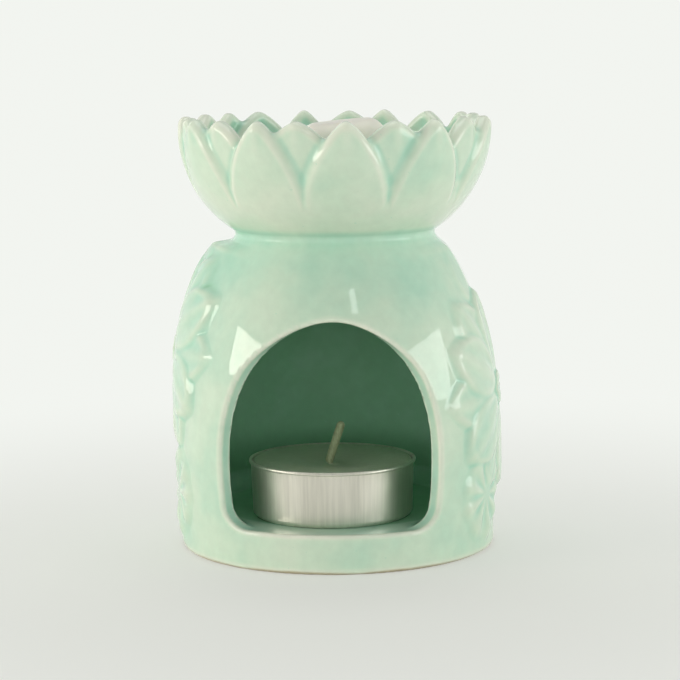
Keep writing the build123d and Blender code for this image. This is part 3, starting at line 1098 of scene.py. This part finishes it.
def leaf_height(form, along, across, size, width, widest, rises, ribs):
    """Height of a pointed, ribbed and pillowed leaf over the wall, with its rises at foot and tip."""
    fullness = 0.3
    foot, tip = rises
    run = np.clip(along / size, 0.01, 1)
    turn = math.pi * run**widest
    bow = np.sin(turn)
    lean = width / 2 * (1 + fullness - 2 * fullness * bow) * np.cos(turn) * turn * widest / (run * size)
    half = width / 2 * bow * (1 + fullness - fullness * bow) + lean * (along - run * size)
    beside = np.hypot(across, form.ridge_round) - form.ridge_round
    edge = np.minimum((half - beside) / np.sqrt(1 + lean * lean), along)
    body = soft_rise(edge, -form.melt_out, form.melt_in)
    q = np.clip(across / (np.maximum(half, form.melt_out) + form.ridge_round), -1, 1)
    along_rib = smooth_step(run, 0.1, 0.4) * smooth_step(run, 1.0, 0.75)
    ribbing = form.rib * np.cos(math.pi * ribs * q) * (1 - q**4) * along_rib
    return body * (foot + (tip - foot) * run + form.crown * (1 - q * q) + ribbing)


def pad_height(form, across, up):
    """Height of a lily pad over the wall: a rounded rim and veins that spread from its middle."""
    veins = 9
    vein_height = 1.6 * form.rib
    rim_height = 0.6 * form.crown
    rim_width = 0.7 * form.melt_in
    middle_height = 0.4 * form.crown
    reach = np.hypot(across / form.pad_width, up / form.pad_length) * 2
    edge = (1 - reach) * form.pad_width / 2
    body = soft_rise(edge, -form.melt_out, form.melt_in)
    veining = vein_height * np.cos(veins * np.arctan2(up, across)) * smooth_step(reach, 0.1, 0.6)
    rim = rim_height * np.exp(-(((edge - form.melt_in) / rim_width) ** 2))
    return body * (form.low + middle_height * (1 - reach * reach) + veining + rim)


def heart_height(form, across, up):
    """Height of the seed head over the wall: a low dome with a ring of seeds."""
    seeds = 7
    ring_radius = 0.55 * form.heart_radius
    ring_width = 0.9 * MM
    middle_width = 0.8 * MM
    spread = np.hypot(across, up)
    body = soft_rise(form.heart_radius - spread, -0.4 * MM, 1.4 * MM)
    ring = np.exp(-(((spread - ring_radius) / ring_width) ** 2))
    middle = np.exp(-((spread / middle_width) ** 2))
    seeding = np.cos(seeds * np.arctan2(up, across)) * ring + middle
    return body * (form.high + form.dome + form.crown + form.rib * seeding)


def petal_height(form, index, across, up, lift):
    """Height of one petal over the wall; petals bend a little and lie high and low in turn."""
    most_bend = 0.9 * MM
    widest = 1.35
    ribs = 3
    turn = form.tilt + TURN * index / form.petals
    along = across * math.cos(turn) + up * math.sin(turn)
    beside = up * math.cos(turn) - across * math.sin(turn)
    bend = most_bend * math.sin(BEND_STEP * index) * np.clip(along / form.petal_length, 0, 1) ** 2
    size = form.petal_length * (1 + PETAL_STRAY * math.sin(LENGTH_STEP * index))
    level = lift + (form.high if index % 2 else form.low)
    rises = 0.7 * level, 1.1 * level
    return leaf_height(form, along, beside - bend, size, form.petal_width, widest, rises, ribs)


def swell_height(form, across, up, turned_in):
    """Height of the soft swell under a spray, where the shoulder turns in."""
    side_start = 0.2 * form.petal_length
    side_end = 0.9 * form.petal_length
    top_start = form.leaf_height + 0.85 * form.leaf_length
    swell = form.stand_limit * np.tanh(form.stand * turned_in / form.stand_limit)
    swell = swell * (1 - smooth_step(np.abs(across), side_start, side_end))
    return swell * (1 - smooth_step(up, top_start, form.swell_top))


def spray_height(form, across, up, inward, turned_in):
    """Height of a spray's relief over the wall: flower, seed head, lily pad and leaf on a soft swell."""
    rise = up - form.flower_height
    lift = form.dome * np.exp(-(np.hypot(across, rise) / (form.petal_length / 2)) ** 2)
    leaf = leaf_height(
        form,
        up - form.leaf_height,
        across - inward * form.leaf_across,
        form.leaf_length,
        form.leaf_width,
        widest=0.9,
        rises=(form.low, 0.55 * form.low),
        ribs=2,
    )
    heights = [
        pad_height(form, across - inward * form.pad_across, up - form.pad_height),
        form.leaf_share * leaf,
        heart_height(form, across, rise),
        *(petal_height(form, index, across, rise, lift) for index in range(form.petals)),
    ]
    total = sum(height**SOFT_TOP for height in heights)
    return swell_height(form, across, up, turned_in) + total ** (1 / SOFT_TOP)


def add_spray(name, form, housing, inward):
    """Relief spray laid over one side of the housing."""
    margin = 3 * MM
    lowest = 1.5 * MM
    highest = housing.neck_height - 0.5 * MM
    bend_reach = 0.5 * MM
    wall = housing_wall(housing)
    half = math.asin(min((form.petal_length + margin) / housing.shoulder_radius, 0.99))
    azimuths = form.azimuth + np.arange(-half, half, form.grain / housing.belly_radius)
    azimuth, up = np.meshgrid(azimuths, np.arange(lowest, highest, form.grain), indexing="ij")
    reach, slope = wall(azimuth, up)
    turned_in = housing.belly_radius - reach
    relief = spray_height(form, reach * np.sin(azimuth - form.azimuth), up, inward, turned_in)
    rim = 1 - smooth_step(relief, 0, 2 * form.sink)
    upright = 1 / np.sqrt(1 + slope * slope)

    def raised(height):
        out = reach + height * upright
        z = up - height * slope * upright
        return np.stack((out * np.sin(azimuth), -out * np.cos(azimuth), z), axis=-1)

    def outward(surface):
        normals = np.cross(np.gradient(surface, axis=0), np.gradient(surface, axis=1))
        return normals / np.linalg.norm(normals, axis=-1, keepdims=True)

    def corners(grid):
        return grid[:-1, :-1], grid[1:, :-1], grid[1:, 1:], grid[:-1, 1:]

    points = raised(relief - form.sink * rim).reshape(-1, 3)
    clear = smooth_step(relief, form.sink, 6 * form.sink)
    normals = outward(raised(relief)) * clear[..., None] + outward(raised(0)) * (1 - clear[..., None])
    bends = [np.gradient(np.gradient(relief, axis=axis), axis=axis) for axis in (0, 1)]
    pool = np.clip(sum(bends) / form.grain**2 * bend_reach, RELIEF_EDGE_POOL, CREASE_POOL) * clear
    # Painted shade of the dish on the shoulder behind the sprays
    pool = pool + painted_shoulder_shade(housing, up)
    quads = np.stack(corners(np.arange(relief.size).reshape(relief.shape)), axis=-1)
    buried = np.all(corners(rim > 0.999), axis=0)
    quads = quads[~buried]
    used = np.unique(quads)
    renumbered = np.full(relief.size, -1)
    renumbered[used] = np.arange(len(used))
    faces = renumbered[quads].tolist()
    return add_piece(name, points[used], faces, normals.reshape(-1, 3)[used], pool.reshape(-1)[used])


class BURNER_OT_sprays(Operator):
    """Lays the lotus sprays in low relief on both sides of the housing"""

    bl_idname = "burner.sprays"
    bl_label = "Lotus Sprays"

    def execute(self, context):
        settings = context.scene.oil_burner
        for name, form, inward, node in (
            ("left_lotus_spray", settings.left_spray, 1, "left_spray"),
            ("right_lotus_spray", settings.right_spray, -1, "right_spray"),
        ):
            piece = add_spray(name, form, settings.housing, inward)
            finish_piece(piece, glaze(settings.finish), "burner", "celadon_glaze", node)
        return {"FINISHED"}


class BURNER_OT_tealight(Operator):
    """Makes the aluminium cup, the candle, its wick and the sustainer's finish"""

    bl_idname = "burner.tealight"
    bl_label = "Tealight"

    def execute(self, context):
        settings = context.scene.oil_burner
        form = settings.tealight
        finish = settings.finish
        foot = (form.place_x, form.place_y, settings.housing.floor_height)
        self.make_cup(form, finish, foot)
        self.make_wax(form, finish, foot)
        self.make_wick(form, finish, foot)
        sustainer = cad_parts["wick_sustainer"]
        sustainer.data.materials.clear()
        sustainer.data.materials.append(steel_material("sustainer_steel", finish))
        return {"FINISHED"}

    def make_cup(self, form, finish, foot):
        """Drawn cup with a pressed-up bottom, a rounded corner and a rolled rim."""
        bevel = 0.3 * MM
        dents = ((0.05 * MM, 3, 1.0), (0.025 * MM, 11, 2.0))
        rim = form.rim_radius - form.bead
        top = form.depth - form.bead
        lean = math.degrees(math.atan2(rim - form.base_radius, top))
        corner = (form.base_radius - form.corner, form.corner)
        outside = [
            (0, form.panel_lift),
            (form.panel_radius - bevel, form.panel_lift),
            (form.panel_radius, form.panel_lift - bevel),
            (form.panel_radius + 0.1 * MM, 0.2 * MM),
            (form.panel_radius + 0.4 * MM, 0),
            *arc_points(corner, form.corner, -90, -lean, 9),
        ]
        start = outside[-1]
        for step in np.linspace(0, 1, 9)[1:-1]:
            outside.append((start[0] + (rim - start[0]) * step, start[1] + (top - start[1]) * step))
        bead = arc_points((rim, top), form.bead, -80, 200, 18)
        inside = [
            (rim - form.bead, top - 1.0 * MM),
            *arc_points(corner, form.corner - form.sheet, -lean, -90, 6),
            (form.panel_radius + form.sheet, form.sheet),
            (form.panel_radius + form.sheet, form.panel_lift + form.sheet),
            (0, form.panel_lift + form.sheet),
        ]
        points, faces = lathe([*outside, *bead, *inside], foot, RING_SEGMENTS)
        turns = np.arctan2(points[:, 0] - foot[0], foot[1] - points[:, 1])
        dent = sum(size * np.sin(count * turns + phase) for size, count, phase in dents)
        dent *= smooth_step(points[:, 2] - foot[2], 1.0 * MM, 5.0 * MM)
        points[:, 0] += dent * np.sin(turns)
        points[:, 1] -= dent * np.cos(turns)
        piece = add_piece("candle_cup", points, faces, sharp=RING_SHARP)
        aluminium = aluminium_material("cup_aluminium", finish)
        finish_piece(piece, aluminium, "tealight", "cup_aluminium", "tealight_cup")

    def make_wax(self, form, finish, foot):
        """Candle with a bevelled foot, a slightly dished top and a collar round the wick."""
        edge = 0.2 * MM
        flat = 0.8 * MM
        collar_reach = 1.3 * MM
        low = form.panel_lift + form.sheet
        top = form.depth - form.wax_below_rim
        bore = form.wick_radius * 0.9
        profile = [
            (0, low),
            (form.wax_radius - form.corner, low),
            (form.wax_radius, low + form.corner),
            (form.wax_top_radius, top - 1.0 * MM),
            *arc_points((form.wax_top_radius - edge, top - edge), edge, 0, 90, 6),
        ]
        for spread in np.linspace(form.wax_top_radius - flat, bore, 40):
            climb = form.wax_collar * math.exp(-((spread - bore) / collar_reach))
            dip = form.wax_dip * math.exp(-((spread / form.wax_dip_radius) ** 2))
            profile.append((spread, top + climb - dip))
        profile.append((0, top + form.wax_collar - form.wax_dip))
        points, faces = lathe(profile, foot, 120)
        piece = add_piece("candle_wax", points, faces, sharp=40)
        # The wax gets painted shade of the chamber through its colour
        wax = wax_material("paraffin_wax", finish.paraffin, roughness=0.3, depth=2.0 * MM)
        finish_piece(piece, wax, "candle", "paraffin", "tealight_wax")

    def make_wick(self, form, finish, foot):
        """Braided wick that leans to the right, with a rounded top."""
        sides = 24
        braid_turn = 0.75
        braid_depth = 0.06
        low = form.panel_lift + form.sheet
        base = form.depth - form.wax_below_rim - form.wax_dip
        rise = form.depth + form.wick_standing - base
        lean_turn = math.atan2(form.wick_lean, rise)
        path = [(0, height, 0.0, 1.0) for height in np.linspace(low, base, 12)[:-1]]
        for run in 1 - (1 - np.linspace(0, 1, 50)) ** 1.6:
            lean = form.wick_root * smooth_step(run, 0, 0.1) + form.wick_lean * run
            end = max(run * rise - rise + form.wick_radius, 0) / form.wick_radius
            path.append((lean, base + rise * run, lean_turn, math.sqrt(1.02 - end * end)))
        points = []
        faces = []
        for index, (x, z, turn, girth) in enumerate(path):
            for side in range(sides):
                phase = TURN * side / sides
                twist = braid_turn * index
                braid = math.cos(2 * phase + twist) * math.cos(2 * phase - twist)
                reach = girth * form.wick_radius * (1 - braid_depth / 2 + braid_depth * braid)
                out = reach * math.cos(phase)
                depth = reach * math.sin(phase)
                points.append((x + out * math.cos(turn), -depth, z - out * math.sin(turn)))
        for ring in range(0, len(points) - sides, sides):
            for side in range(sides):
                after = (side + 1) % sides
                faces.append((ring + side, ring + sides + side, ring + sides + after, ring + after))
        faces.append(tuple(reversed(range(len(points) - sides, len(points)))))
        faces.append(tuple(range(sides)))
        piece = add_piece("candle_wick", np.array(points) + np.array(foot), faces, sharp=60)
        # The wick gets painted shade of the chamber through its colour
        shaded_cotton = cotton_material("wick_cotton", finish)
        finish_piece(piece, shaded_cotton, "candle", "wick_cotton", "tealight_wick")


class BURNER_OT_melt(Operator):
    """Lays the softened block of wax in the dish"""

    bl_idname = "burner.melt"
    bl_label = "Wax Melt"

    def execute(self, context):
        settings = context.scene.oil_burner
        form = settings.melt
        foot_height = settings.dish.floor_height
        low = (form.place_x - form.width / 2, -form.depth / 2, foot_height)
        high = (form.place_x + form.width / 2, form.depth / 2, form.top_height)
        field = melt_field(form, foot_height)
        piece = add_field_piece("oil_melt", field, low, high, form.grain, reach=1.0 * MM)
        wax = wax_material("melt_wax", settings.finish.melt, roughness=0.4, depth=3.0 * MM)
        finish_piece(piece, wax, "melt", "melt_wax", "wax_melt")
        return {"FINISHED"}


class BURNER_OT_studio(Operator):
    """Sets up the seamless paper, the soft light and the camera"""

    bl_idname = "burner.studio"
    bl_label = "Studio"

    def execute(self, context):
        form = context.scene.oil_burner.studio
        context.scene.view_settings.view_transform = "Standard"
        self.make_floor(form)
        self.make_world(context.scene, form)
        for name, colour, *shape in LAMPS:
            self.make_lamp(name, getattr(form, colour), *shape)
        self.make_camera(context.scene, form)
        return {"FINISHED"}

    def make_floor(self, form):
        """Round sheet of paper that turns into the backdrop away from the burner."""
        shade_reach = 0.27
        least_backdrop = 0.40
        points, faces = lathe([(3.0, 0), (1.0, 0), (0.3, 0), (0, 0)], (0, 0, 0), 64)
        floor = add_piece("paper_floor", points, [face[::-1] for face in faces])
        material, tree, shader, place = new_material("studio_paper")
        paper = {"Base Color": rgba(form.paper), "Roughness": 0.9, "Specular IOR Level": 0.1}
        feed(tree, shader, paper)
        ends = {0: place, 1: form.shade_centre}
        distance = add_node(tree, "ShaderNodeVectorMath", ends, operation="DISTANCE").outputs["Value"]
        fade = add_range(tree, distance, 0.0, shade_reach, least_backdrop, 1.0, "SMOOTHSTEP")
        backdrop = add_node(tree, "ShaderNodeEmission", {"Color": rgba(form.backdrop)})
        amount = add_math(tree, "MULTIPLY", fade, self.seen_rays(tree))
        output = next(node for node in tree.nodes if node.type == "OUTPUT_MATERIAL")
        self.mix_shaders(tree, amount, shader, backdrop, output)
        floor.data.materials.append(material)

    def seen_rays(self, tree):
        """1 for rays that show the backdrop itself: from the camera, a gloss or through glass."""
        path = add_node(tree, "ShaderNodeLightPath").outputs
        shown = add_math(tree, "MAXIMUM", path["Is Camera Ray"], path["Is Glossy Ray"])
        return add_math(tree, "MAXIMUM", shown, path["Is Transmission Ray"])

    def mix_shaders(self, tree, amount, first, second, output):
        """Sends two shaders, mixed by an amount, to the output."""
        values = {0: amount, 1: first.outputs[0], 2: second.outputs[0]}
        mix = add_node(tree, "ShaderNodeMixShader", values)
        feed(tree, output, {"Surface": mix.outputs["Shader"]})

    def make_world(self, scene, form):
        """Soft room light, a little stronger from the left, behind a pale backdrop."""
        overhead_start = 0.44
        gloss_shade = 0.7
        world = bpy.data.worlds.new("studio_room")
        scene.world = world
        world.use_nodes = True
        tree = world.node_tree
        tree.nodes.clear()
        direction = add_node(tree, "ShaderNodeTexCoord").outputs["Generated"]
        parts = add_node(tree, "ShaderNodeSeparateXYZ", {"Vector": direction}).outputs
        side = add_range(tree, parts["X"], -1.0, 1.0, ROOM_LEFT, ROOM_RIGHT)
        above = add_range(tree, parts["Z"], 0.0, overhead_start, ROOM_LEVEL, ROOM_OVERHEAD)
        front = add_range(tree, parts["Y"], -1.0, 0.4, ROOM_FRONT, ROOM_BACK)
        level = add_math(tree, "MULTIPLY", add_math(tree, "MULTIPLY", side, front), above)
        light = {"Color": (1.0, 0.99, 0.96, 1.0), "Strength": level}
        room = add_node(tree, "ShaderNodeBackground", light)
        gloss = add_node(tree, "ShaderNodeLightPath").outputs["Is Glossy Ray"]
        shade = add_range(tree, parts["Y"], -0.8, 0.0, gloss_shade, 0.0)
        dimmed = add_math(tree, "SUBTRACT", 1.0, add_math(tree, "MULTIPLY", gloss, shade))
        backdrop = add_node(
            tree, "ShaderNodeBackground", {"Color": rgba(form.backdrop), "Strength": dimmed}
        )
        output = add_node(tree, "ShaderNodeOutputWorld")
        self.mix_shaders(tree, self.seen_rays(tree), room, backdrop, output)

    def make_lamp(self, name, colour, place, width, height, power):
        """Rectangular lamp turned towards the middle of the burner."""
        lamp = bpy.data.lights.new(name, "AREA")
        lamp.color = colour
        lamp.shape = "RECTANGLE"
        lamp.size = width
        lamp.size_y = height
        lamp.energy = power
        holder = bpy.data.objects.new(name, lamp)
        holder.location = place
        holder.rotation_euler = (LAMP_AIM - Vector(place)).to_track_quat("-Z", "Y").to_euler()
        bpy.context.scene.collection.objects.link(holder)

    def make_camera(self, scene, form):
        """Camera at the height and fall of the view."""
        camera = bpy.data.cameras.new("studio_camera")
        camera.sensor_width = 36.0
        camera.lens = form.lens
        camera.clip_start = 0.01
        holder = bpy.data.objects.new("studio_camera", camera)
        holder.location = form.camera_place
        facing = Euler((math.pi / 2 - form.camera_pitch, 0, 0)).to_matrix()
        roll = Euler((0, 0, form.camera_roll)).to_matrix()
        holder.rotation_euler = (facing @ roll).to_euler()
        scene.collection.objects.link(holder)
        scene.camera = holder


PIECES = ("housing", "luting_ring", "dish", "sprays", "tealight", "melt", "studio")


class BURNER_PT_panel(Panel):
    """Lists the burner's pieces"""

    bl_idname = "BURNER_PT_panel"
    bl_label = "Oil Burner"
    bl_space_type = "VIEW_3D"
    bl_region_type = "UI"
    bl_category = "Oil Burner"

    def draw(self, context):
        for name in PIECES:
            self.layout.operator(f"burner.{name}")


CLASSES = (
    HousingForm,
    DishForm,
    LeftSprayForm,
    RightSprayForm,
    TealightForm,
    MeltForm,
    Finish,
    StudioForm,
    BurnerSettings,
    BURNER_OT_housing,
    BURNER_OT_luting_ring,
    BURNER_OT_dish,
    BURNER_OT_sprays,
    BURNER_OT_tealight,
    BURNER_OT_melt,
    BURNER_OT_studio,
    BURNER_PT_panel,
)


def register():
    for cls in CLASSES:
        bpy.utils.register_class(cls)
    bpy.types.Scene.oil_burner = PointerProperty(type=BurnerSettings)


def unregister():
    del bpy.types.Scene.oil_burner
    for cls in reversed(CLASSES):
        bpy.utils.unregister_class(cls)


def main():
    register()
    for name in PIECES:
        getattr(bpy.ops.burner, name)()


if __name__ == "__main__":
    main()
